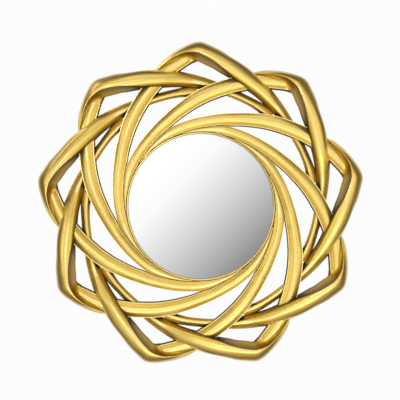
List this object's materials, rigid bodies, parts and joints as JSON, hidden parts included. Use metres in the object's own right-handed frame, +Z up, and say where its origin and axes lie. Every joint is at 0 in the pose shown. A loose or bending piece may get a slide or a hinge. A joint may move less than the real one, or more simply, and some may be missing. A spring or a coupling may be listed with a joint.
{
  "type": "wall mirror",
  "caption": "Round wall mirror in a deep frame of interlaced gold bands that sweep from the glass out to blunt corners and fold back, with a backing board and two swinging wire hangers.",
  "frame": {"origin": "middle of the mirror on the wall plane, which is the outer face of the wall bumpers", "axes": "+Z up, -Y out of the wall through the glass, +X to the right seen from the front"},
  "size_m": [0.7866, 0.0687, 0.7777],
  "materials": {
    "gold_frame": "satin antique gold paint over moulded resin",
    "gold_rim": "satin antique gold paint over moulded resin",
    "mirror_face": "silvered float glass",
    "cushion_foam": "closed-cell foam",
    "carrier_board": "raw fibreboard",
    "back_board": "sealed brown fibreboard",
    "screw_steel": "zinc plated",
    "hanger_steel": "nickel plated",
    "bumper_rubber": "matt"
  },
  "bodies": {
    "frame": {"strand_1": "gold_frame", "strand_2": "gold_frame", "strand_3": "gold_frame", "strand_4": "gold_frame", "strand_5": "gold_frame", "strand_6": "gold_frame", "strand_7": "gold_frame", "strand_8": "gold_frame", "strand_9": "gold_frame", "rim_ring": "gold_rim", "carrier_ring": "carrier_board", "strand_screws": "screw_steel", "mirror_glass": "mirror_face", "glass_cushion": "cushion_foam", "backing_board": "back_board", "board_screws": "screw_steel", "hanger_strap_left": "hanger_steel", "hanger_strap_right": "hanger_steel", "hanger_screws": "screw_steel", "wall_bumpers": "bumper_rubber"},
    "loop_left": {"hanger_loop_left": "hanger_steel"},
    "loop_right": {"hanger_loop_right": "hanger_steel"}
  },
  "joints": [
    {"name": "loop_hinge_left", "type": "hinge", "parent": "frame", "child": "loop_left", "pos_m": [-0.12277, -0.00312, 0.15931], "axis": [1, 0, 0], "range_deg": [-2, 180]},
    {"name": "loop_hinge_right", "type": "hinge", "parent": "frame", "child": "loop_right", "pos_m": [0.12277, -0.00312, 0.15931], "axis": [1, 0, 0], "range_deg": [-2, 180]}
  ]
}
